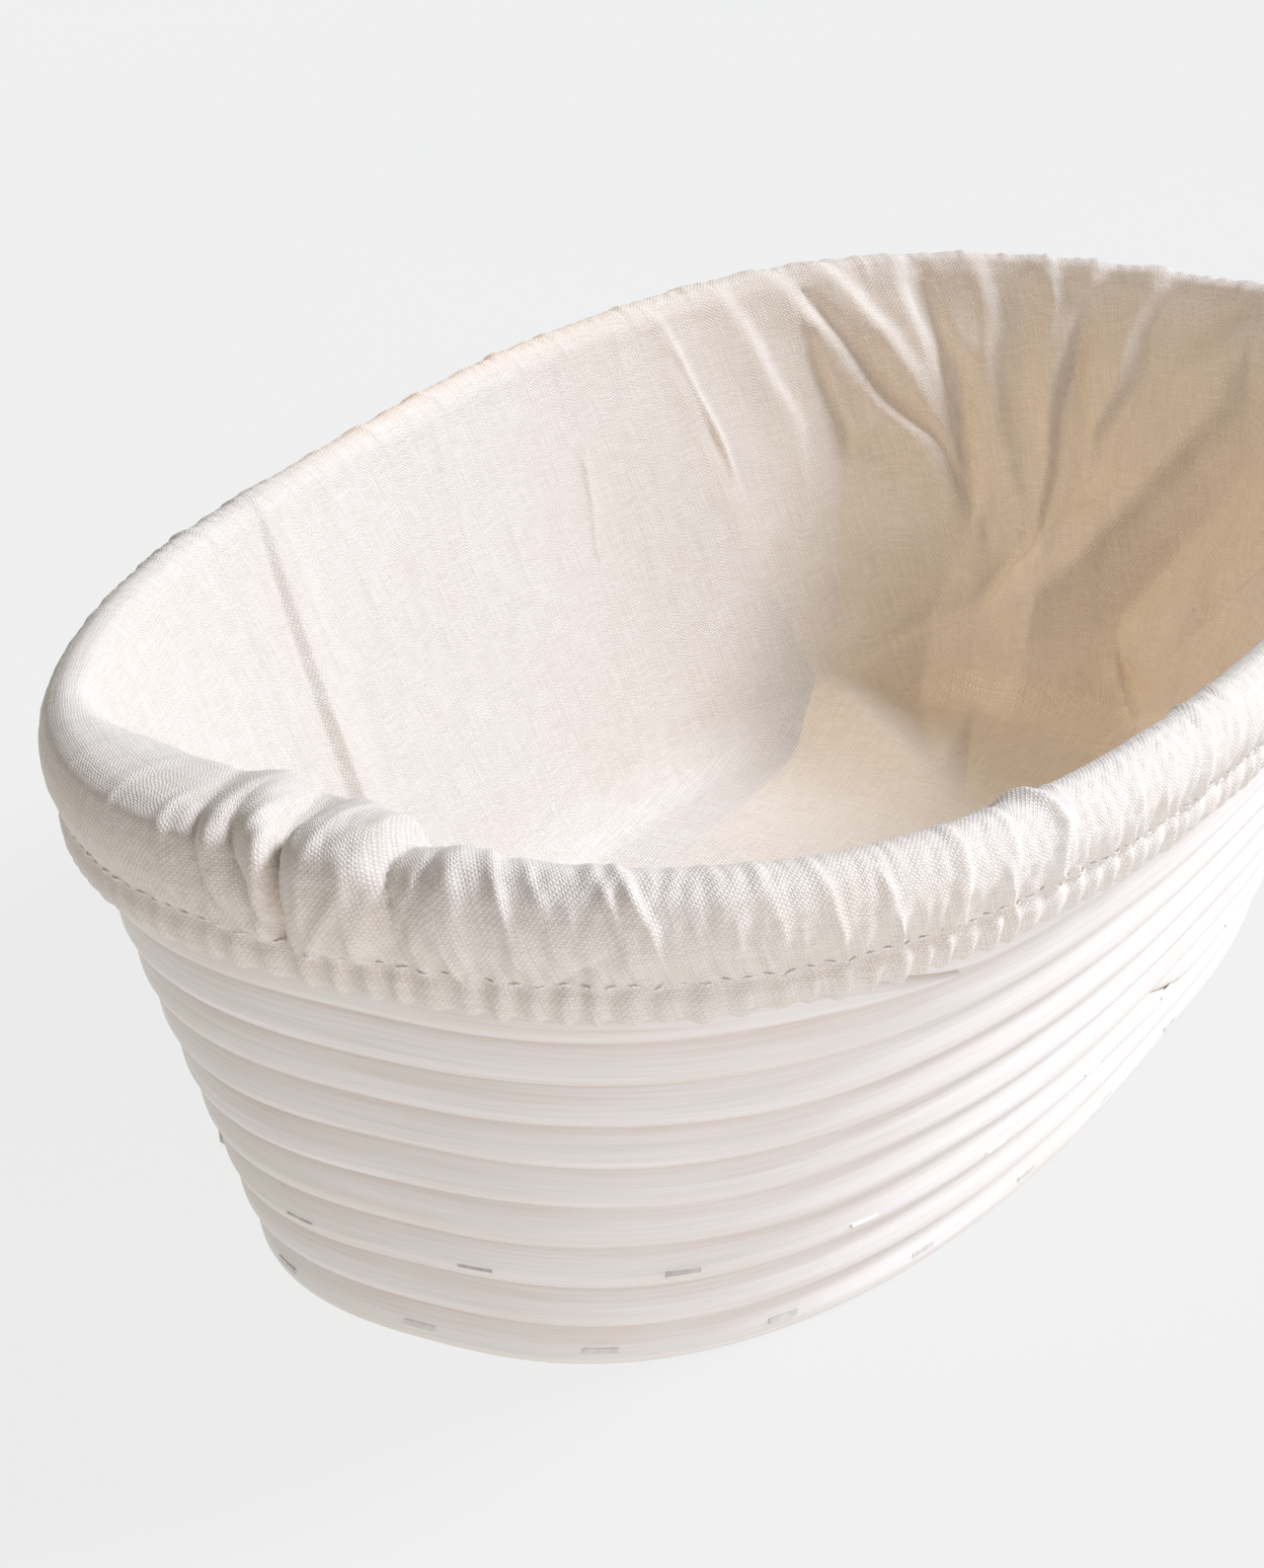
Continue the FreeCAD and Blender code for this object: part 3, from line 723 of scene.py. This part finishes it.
END_FOLD_HEIGHT = 0.95  # share of the heights below that the folds get
END_FOLD_WIDTH = 1.35
FAR_FOLDS = (  # ridges and valleys that run down from the rim to where the far end is gathered
    ((-34, 98, 1.6, 5), (-29, 84, 3, 5), (-21, 66, 2.4, 4.5), (-10, 50, 1.6, 4), (2, 38, 1, 3.5),
     (14, 30, 0.6, 2.5)),
    ((-4, 97, 1.2, 3), (-1, 87, 3, 3), (1, 76, 3.6, 3), (3, 64, 2.8, 2.6), (4, 54, 1.6, 2.4),
     (12, 38, 1.2, 2)),
    ((12, 97, 1, 2.6), (14, 83, 3, 3), (16, 72, 3.2, 2.8), (17, 57, 2, 2.5), (16, 42, 1, 2)),
    ((11, 88, -0.8, 1.6), (11, 74, -2.2, 1.8), (7, 63, -2.2, 1.6), (5, 54, -1.6, 1.5),
     (9, 46, -0.8, 1.4)),
    ((21, 97, 0.8, 2.2), (19, 88, 1.8, 2.2), (20, 79, 0.8, 2.2)),
    ((25, 90, -0.8, 2), (23, 78, -1.6, 2.2), (21, 60, -0.8, 2.2)),
    ((38, 96, 0.8, 3), (35, 86, 2, 3.2), (32, 75, 2.4, 3.4), (29, 60, 1.4, 3.2), (22, 44, 0.5, 2.5)),
    ((48, 94, -0.6, 2), (45, 86, -1.6, 2.2), (40, 73, -2.8, 2.2), (37, 59, -2.6, 1.9),
     (34, 46, -1.2, 1.6)),
    ((55, 96, 0.8, 2.6), (51, 84, 1.8, 3), (46, 72, 1.6, 3), (41, 60, 0.6, 2.4)),
    ((72, 96, 1.4, 2.6), (64, 88, 2.4, 3.2), (56, 75, 2.6, 3.2), (46, 64, 1.6, 2.8),
     (39, 54, 0.5, 2.2)),
    ((74, 90, -0.8, 1.4), (64, 78, -2, 1.6), (57, 70, -2.2, 1.5), (46, 60, -1.8, 1.5),
     (36, 49, -0.8, 1.3)),
    ((88, 97, 0.8, 3), (79, 88, 1.6, 3.2), (69, 79, 2.8, 3.2), (58, 67, 3.2, 3), (46, 55, 2.2, 2.8),
     (34, 43, 0.8, 2.2)),
    ((76, 82, -0.8, 1.6), (71, 72, -1.4, 1.6), (66, 61, -0.6, 1.6)),
    ((98, 94, 0.8, 2.8), (90, 80, 1.4, 3), (83, 66, 0.8, 2.8), (79, 54, 0.2, 2.4)),
    ((117, 92, 0.6, 2), (110, 77, 1.2, 2), (100, 54, 0.8, 1.8), (97, 46, 0.1, 1.5)),
    ((115, 84, -0.4, 1), (107, 70, -0.8, 1.1), (98, 50, -0.4, 1.1)),
    ((25, 30, 0.8, 1.6), (16, 36, 2, 1.8), (9, 41, 2, 1.8), (3, 47, 1.2, 1.8)),
    ((22, 36, -0.6, 1.2), (26, 31, -1.6, 1.3), (33, 27, -1.8, 1.3), (46, 24, -1.1, 1.3),
     (70, 18, -0.4, 1.3)),
    ((-56, 94, 1, 4), (-54, 76, 1.6, 5), (-50, 58, 1, 4)),
    ((-58, 52, -1, 1.6), (-46, 38, -2.4, 1.5), (-41, 29, -0.9, 1.3)),
    ((-9, 24, 0.3, 1.2), (-14, 17, 1.2, 1.3), (-20, 11, 1.3, 1.3), (-33, 5, 0.6, 1.3)),
    ((-10, 22, -0.3, 1.2), (-18, 17, -1.4, 1.2), (-30, 10, -1.2, 1.2)),
    ((-80, 94, 0.8, 3.5), (-75, 74, 1.6, 4), (-72, 56, 0.6, 3.5)),
)


def near_folds():
    """The hidden end nearest the camera: gathered like the far end, but not just the same."""
    noise = np.random.default_rng(5)
    folds = []
    for path in FAR_FOLDS:
        grown = noise.uniform(0.7, 1.0)
        moved = noise.uniform(-4, 4)
        fold = []
        for place, station, height, width in path:
            fades = 1 - 0.85 * smooth_step((station - 76) / 12)
            mirrored = RIM_LENGTH / 2 - place - moved * (station - 34) / 60
            fold.append((mirrored, station, height * grown * fades, width))
        folds.append(fold)
    return folds


def pleat(place, station):
    """One pressed pleat down the long wall: a narrow steep side and a broad gentle one."""
    crest = np.interp(station, (26, 38, 60, 84, 96), (272.6, 272.4, 271.4, 269.8, 267.6))
    steep = np.interp(station, (26, 60, 96), (3.4, 3.0, 1.8))
    height = np.interp(station, (22, 34, 84, 97), (0.0, 1.4, 1.2, 0.3))
    away = ring_distance(place, crest)
    slope = np.where(away > 0, 1 - away / steep, 1 - smooth_step(-away / 16.0))
    return height * np.clip(slope, 0, 1)


def wall_creases():
    """Faint creases down the two long walls."""
    noise = np.random.default_rng(21)
    folds = [((150, 72, 0.5, 1.2), (153, 56, 0.3, 1.2))]
    for _ in range(34):
        top = noise.choice([noise.uniform(125, 400), noise.uniform(500, 800)])
        start = noise.uniform(60, 94)
        length = noise.uniform(12, 45)
        height = noise.uniform(0.08, 0.3)
        slant = noise.uniform(-5, 5)
        folds.append(((top, start, height, 2.2), (top + slant, start - length, 0.05, 1.6)))
    return folds


def wrinkled(place):
    """How wrinkled the cuff is: nearly smooth to the left of the near end, most to the right of it."""
    smooth = np.exp(-((ring_distance(place, 375.0) / 50.0) ** 4))
    return 0.85 + 0.35 * bump_at(ring_distance(place, 520.0), 0, 90.0) - 0.65 * smooth


def cuff_wrinkles():
    """The wrinkles that run up the cuff from its gathered hem, some of them over the rim."""
    noise = np.random.default_rng(33)
    folds = []
    place = 0.0
    while place < RIM_LENGTH - 3:
        height = noise.uniform(0.35, 0.95) * wrinkled(place)
        length = noise.uniform(4, 15)
        slant = noise.uniform(-0.55, 0.1) * length
        width = noise.uniform(0.75, 1.3)
        middle = (place + slant * 0.4, STITCH - length * 0.5, height, width)
        top = (place + slant, STITCH - length, 0.0, width * 1.4)
        folds.append(((place, STITCH, height, width), middle, top))
        place += noise.uniform(2.4, 4.6)
    place = 2.0
    while place < RIM_LENGTH - 6:
        height = noise.uniform(0.35, 0.85) * wrinkled(place)
        length = noise.uniform(16, 31)
        slant = noise.uniform(-0.45, 0.0) * length
        width = noise.uniform(0.8, 1.5)
        lower = (place + slant * 0.15, STITCH - length * 0.35, height, width)
        upper = (place + slant * 0.5, STITCH - length * 0.7, height * 0.8, width * 1.3)
        top = (place + slant, STITCH - length, 0.0, width * 1.3)
        folds.append(((place, STITCH + 1, height * 0.7, width), lower, upper, top))
        place += noise.uniform(5, 13)
    return folds


NEAR_CREASES = (  # the creases between the folds at the near end of the cuff
    ((432, 89, -0.4, 1.2), (436, 93, -2.4, 1), (439.5, 97, -4.4, 0.9), (441.5, 99.5, -5, 0.8),
     (443, 103, -5.2, 0.8), (443.5, 109, -4.8, 0.8), (442, 118, -2, 0.8)),
    ((429, 95, -0.4, 1.2), (430, 97.5, -1.2, 1), (434, 101, -1.5, 0.9), (437, 105, -1.5, 0.9),
     (439, 108.5, -1.2, 0.8), (442, 113, -0.9, 0.7)),
    ((412, 90, -0.3, 1.4), (417, 94, -0.9, 1.3), (423.5, 98, -1.5, 1.2), (427.5, 101, -1.6, 1.1),
     (430, 105, -1.4, 1), (431, 109, -1, 1), (434, 114, -0.3, 0.9)),
    ((466, 90, -0.5, 1.1), (460, 95, -1.1, 0.9), (458.5, 100, -1.4, 0.8), (460, 105, -1.3, 0.8),
     (461, 111, -0.8, 0.8), (463, 117, -0.3, 0.8)),
    ((469, 92, -0.3, 1), (465, 97, -0.6, 0.9), (464, 103, -0.6, 0.9), (462, 111, -0.3, 0.8)),
    ((490, 110, -0.6, 0.9), (486, 114, -0.9, 0.8), (484, 119, -0.7, 0.8)),
)
BIG_PUFF = (  # the broad flat fold at the near end of the cuff
    (443, 86, 0.4, 6), (446, 91, 1.9, 7), (449.5, 96, 3.3, 8), (450.5, 103, 3.8, 8),
    (451, 109, 3.2, 7.8), (450, 117, 1.1, 6.5),
)
NEAR_PUFFS = (  # the smaller folds of the cuff on either side of it
    ((424, 89, 0.6, 2.6), (428.5, 94, 1.8, 2.8), (435, 98, 2.8, 2.9), (439, 101, 3.2, 2.8),
     (440.5, 105, 3, 2.3), (441, 110, 2.2, 2), (440.5, 117, 0.8, 1.6)),
    ((418, 90, 0.5, 3), (423.5, 94, 1.2, 3), (428.5, 98, 1.9, 2.8), (431.5, 102.5, 2.2, 2.4),
     (434, 107, 1.9, 2.1), (437.5, 113, 0.9, 1.8)),
    ((419, 98, 0.2, 1.2), (422, 103, 0.9, 1.1), (425, 109, 1.1, 1), (430, 115, 0.8, 1),
     (436, 119, 0.4, 1)),
    ((469, 88, 0.6, 4), (468, 93, 1.6, 4.5), (468, 99, 2, 4.8), (469, 106, 1.6, 4.6),
     (470, 113, 0.6, 4.4)),
    ((472, 94, 0.5, 1.3), (475, 101, 1.1, 1.1), (478, 108, 1.2, 1.1), (481.5, 119, 0.8, 1)),
    ((478, 96, 0.2, 1.2), (481, 102, 0.7, 1.1), (483, 108, 0.7, 1), (485, 115, 0.2, 1)),
    ((487, 95, 0.4, 1.2), (492, 105, 1, 1), (497, 119, 0.8, 1)),
    ((490, 94, 0.3, 1.2), (495, 104, 1, 1.1), (500, 117, 0.7, 1)),
    ((447, 119, 0.9, 1.1), (449, 112, 0.8, 1), (453, 106, 0.5, 1), (455, 101, 0.1, 1)),
    ((454, 119, 0.8, 1), (455, 113, 0.7, 0.9), (457, 107, 0.4, 0.9), (458, 102, 0.1, 0.9)),
    ((458, 96, 0.8, 4), (478, 96, 2, 4.5), (502, 96, 1.7, 4.5), (530, 96, 0.8, 4), (560, 96, 0.2, 4)),
    ((556, 90, 1, 1.5), (564, 97, 1.6, 1.3), (569, 104, 1.2, 1.2), (570, 114, 0.4, 1.2)),
)


def crumple(place, station):
    """Small uneven wrinkles all over the cuff, running mostly up it."""
    noise = np.random.default_rng(57)
    total = np.zeros_like(place)
    for _ in range(8):
        slope = noise.uniform(-0.7, 0.9)
        pitch = noise.uniform(2.4, 5.5)
        bend = np.sin(station / noise.uniform(3, 7) + noise.uniform(0, 6))
        bend = bend + np.sin(place / noise.uniform(5, 12) + noise.uniform(0, 6))
        strength = 0.5 + 0.5 * np.sin(place / noise.uniform(9, 25) + station / 9 + noise.uniform(0, 6))
        total += strength * np.abs(np.sin(math.pi * (place + slope * station) / pitch + 0.9 * bend))
    on_cuff = smooth_step((station - 94) / 5) * (1 - smooth_step((station - 115) / 4))
    return 0.13 * total * on_cuff * wrinkled(place)


def gathers(place, station):
    """Puckers at the stitched line and flutes below it, close together and uneven."""
    noise = np.random.default_rng(41)
    steps = noise.uniform(3.4, 6.4, 400)
    ends = np.cumsum(steps)
    ends = ends[: np.searchsorted(ends, RIM_LENGTH)]
    ends = np.concatenate([[0], ends * RIM_LENGTH / ends[-1]])
    phase = np.interp(place % RIM_LENGTH, ends, np.arange(len(ends)))
    flute = 0.5 - 0.5 * np.cos(math.tau * phase)
    strength = np.interp(np.floor(phase), np.arange(len(ends)), noise.uniform(0.5, 1.0, len(ends)))
    pucker = flute * bump_at(station, STITCH, 3.0) * 0.7
    below = flute * smooth_step((station - STITCH) / 3.0) * smooth_step((129.5 - station) / 3.0) * 1.1
    return (pucker + below) * strength * wrinkled(place)


def liner_points():
    """The cloth's grid of points, folds and all."""
    place, station = np.meshgrid(PLACES, STATIONS)
    offset, z = liner_profile(station)
    shelf, span = np.array(SHELF), np.array(SHELF_SPAN)
    share = np.interp(place, span[:, 0], span[:, 1])
    offset = smooth_rows(offset - share * np.interp(station, shelf[:, 0], shelf[:, 1]), 3)
    z = smooth_rows(z + share * np.interp(station, shelf[:, 0], shelf[:, 2]), 3)
    x, y = outline(offset, rim_angle(place))
    plain = np.stack([x, y, z], -1)
    points = hang_in_facets(plain, end=0.0, hand=1, size=1.0)
    points = hang_in_facets(points, end=RIM_LENGTH / 2, hand=-1, size=0.9)
    lift = np.zeros_like(x)
    for path in (*FAR_FOLDS, *near_folds()):
        scaled = [(*at, height * END_FOLD_HEIGHT, width * END_FOLD_WIDTH) for *at, height, width in path]
        add_fold(lift, scaled, lean=-0.5)
    for path in (*wall_creases(), *cuff_wrinkles()):
        add_fold(lift, path, lean=0.35, power=1.3)
    for path in NEAR_CREASES:
        add_fold(lift, path, lean=0.25, power=1.0)
    add_fold(lift, BIG_PUFF, power=4.0)
    for path in NEAR_PUFFS:
        add_fold(lift, path, power=1.9)
    lift *= np.where(station > STITCH, 1 - smooth_step((station - STITCH) / 2.5), 1)
    lift += gathers(place, station) + crumple(place, station) + pleat(place, station)
    points = points + surface_normals(points) * lift[..., None]
    out = surface_normals(plain)
    depth = ((points - plain) * out).sum(-1, keepdims=True)
    points = points + out * np.maximum(0, -MOST_SUNK - depth)
    return points, place, station


def surface_normals(points):
    """Which way the cloth faces at each point: into the bowl inside it, and outwards on the cuff."""
    around = np.roll(points, -1, 1) - np.roll(points, 1, 1)
    along = np.gradient(points, axis=0)
    normal = np.cross(along, around)
    length = np.linalg.norm(normal, axis=-1, keepdims=True)
    normal = normal / np.maximum(length, 1e-9)
    normal[length[..., 0] < 1e-6] = (0, 0, 1)
    return normal


def unit(vectors):
    return vectors / np.linalg.norm(vectors, axis=-1, keepdims=True)


def sample_row(points, station):
    """The cloth's points along one station, all the way round."""
    row = np.searchsorted(STATIONS, station)
    share = (station - STATIONS[row - 1]) / (STATIONS[row] - STATIONS[row - 1])
    return points[row - 1] * (1 - share) + points[row] * share


def build_stitches(points):
    """Running stitches of thread that dip into the cloth, all round the hem."""
    line = sample_row(points, STITCH_LINE)
    normal = surface_normals(points)[np.searchsorted(STATIONS, STITCH_LINE)]
    count = int(RIM_LENGTH / STITCH_PITCH)
    share = np.linspace(0, 1, 7)
    side = np.linspace(0, math.tau, 6, endpoint=False)
    place = np.arange(count)[:, None] * RIM_LENGTH / count + share * STITCH_LENGTH
    at = place / (RIM_LENGTH / AROUND)
    before = at.astype(int) % AROUND
    after = (before + 1) % AROUND
    mix = (at % 1.0)[..., None]
    centre = line[before] * (1 - mix) + line[after] * mix
    out = normal[before]
    across = np.cross(unit(line[after] - line[before]), out)
    hump = np.sin(math.pi * share)[:, None]
    thick = THREAD_END + (THREAD_HALF - THREAD_END) * np.sqrt(hump)
    up = STITCH_RISE * hump - STITCH_SUNK + thick * np.sin(side)
    over = thick * np.cos(side)
    tubes = centre[:, :, None] + out[:, :, None] * up[..., None] + across[:, :, None] * over[..., None]
    uv = np.stack(np.broadcast_arrays(place[..., None], THREAD_ROUND * side), -1).reshape(-1, 2)
    numbers = np.arange(count * share.size * side.size).reshape(count, share.size, side.size)
    faces = []
    for tube in numbers:
        faces += grid_corners(tube, wrap=True).reshape(-1, 4).tolist()
        faces += tube[[0, -1]].tolist()
    piece = make_mesh("hem_stitches", tubes, faces, uv[np.concatenate(faces)])
    return finish_piece(piece, THREAD, "sewing_thread", "liner", "hem_stitching")


def build_elastic(points):
    """The flat elastic inside the hem, gathered with it."""
    outer = np.array([sample_row(points, station) for station in (120.9, 122.2, 123.6, 125.0)])
    inner = np.array([sample_row(points, station) for station in (134.6, 133.0, 131.4, 129.9)])
    middle = (outer + inner) / 2
    apart = unit(outer - inner) * ELASTIC_THICK / 2
    band = np.concatenate([middle + apart, (middle - apart)[::-1]]).transpose(1, 0, 2)
    band = np.concatenate([band, band[:1]])
    u, v = np.meshgrid(np.linspace(0, RIM_LENGTH, len(band)), np.arange(9.0) * 1.3, indexing="ij")
    piece = grid_mesh("hem_elastic_band", band, np.stack([u, v], -1), wrap=True)
    return finish_piece(piece, ELASTIC, "elastic_band", "liner", "hem_elastic")


def build_liner():
    """The cloth in one piece. Its weave is square on the floor and follows the rim elsewhere."""
    points, place, station = liner_points()
    steps = np.linalg.norm(np.diff(points, axis=0), axis=-1)
    length = np.concatenate([np.zeros((1, AROUND)), np.cumsum(steps, 0)])
    length = length - length[np.searchsorted(STATIONS, STITCH)]
    u = np.concatenate([place, np.full((len(station), 1), RIM_LENGTH)], 1)
    v = np.concatenate([length, length[:, :1]], 1)
    around = np.stack([u - WEAVE_SLANT * v, v], -1)
    flat = np.concatenate([points, points[:, :1]], 1)[..., :2]
    corners = grid_corners(around, False)
    floor_rows = np.searchsorted(STATIONS, FLOOR_CLOTH_Z)
    corners[:floor_rows] = grid_corners(flat, False)[:floor_rows]
    liner = grid_mesh("liner_cloth", points, corners, wrap=True)
    finish_piece(liner, CLOTH, "liner_cloth", "liner", "liner_pouch", "liner_cuff", "liner_hem")
    return liner, points


def main():
    build_cane()
    dress_staples()
    liner, points = build_liner()
    stitches = build_stitches(points)
    elastic = build_elastic(points)


main()


# ---------------------------------------------------------------- studio
FLOOR_HALF = 6.0  # in metres, as is the rest of the studio
LENS = 104.3
EYE = (-0.6971, -0.3032, 0.3589)
LOOK_DOWN = 22.607  # degrees below level
LOOK_ROUND = 25.898  # degrees round from the basket's length
ROLL = 0.46


def add_light(name, kind, energy, colour, matrix, **settings):
    data = bpy.data.lights.new(name, kind)
    data.energy = energy
    data.color = colour
    for key, value in settings.items():
        setattr(data, key, value)
    light = bpy.data.objects.new(name, data)
    light.matrix_world = matrix
    bpy.context.scene.collection.objects.link(light)


def turned(*turns):
    """A rotation from (axis, degrees) pairs, the last one done first."""
    matrix = Matrix.Identity(4)
    for axis, degrees in turns:
        matrix = matrix @ Matrix.Rotation(math.radians(degrees), 4, axis)
    return matrix


def studio():
    mesh = bpy.data.meshes.new("studio_floor")
    corners = [(x * FLOOR_HALF, y * FLOOR_HALF, 0) for x, y in ((-1, -1), (1, -1), (1, 1), (-1, 1))]
    mesh.from_pydata(corners, [], [(0, 1, 2, 3)])
    floor = bpy.data.objects.new("studio_floor", mesh)
    bpy.context.scene.collection.objects.link(floor)
    floor.location.z = -0.0003
    mesh.materials.append(floor_material())
    world = bpy.data.worlds.new("studio_world")
    world.use_nodes = True
    background = world.node_tree.nodes["Background"]
    background.inputs["Color"].default_value = (1.0, 0.97, 0.93, 1.0)
    background.inputs["Strength"].default_value = 0.30
    bpy.context.scene.world = world
    soft = math.radians(20)
    add_light("key_light", "SUN", 3.45, (0.87, 0.95, 1.10), turned(("Z", 45), ("X", 50)), angle=soft)
    place = Matrix.Translation((-0.60, -0.90, 0.10)) @ turned(("Z", -34), ("X", 88))
    add_light("fill_light", "AREA", 4.8, (0.97, 0.98, 1.12), place, size=0.8)
    start, aim = Vector((-0.27, 0.27, 0.41)), Vector((0.13, -0.01, 0.03))
    place = Matrix.Translation(start) @ (aim - start).to_track_quat("-Z", "Y").to_matrix().to_4x4()
    cone = math.radians(20)
    add_light("warm_light", "SPOT", 3.9, (1.0, 0.67, 0.29), place, spot_size=cone, spot_blend=1.0)


def camera():
    lens = bpy.data.cameras.new("camera")
    lens.sensor_width = 36.0
    lens.lens = LENS
    eye = bpy.data.objects.new("camera", lens)
    turn = Euler((math.radians(90 - LOOK_DOWN), 0, math.radians(LOOK_ROUND - 90))).to_matrix().to_4x4()
    roll = Matrix.Rotation(math.radians(ROLL), 4, "Z")
    eye.matrix_world = Matrix.Translation(EYE) @ turn @ roll
    bpy.context.scene.collection.objects.link(eye)
    bpy.context.scene.camera = eye


studio()
camera()
bpy.context.scene.view_settings.view_transform = "Standard"
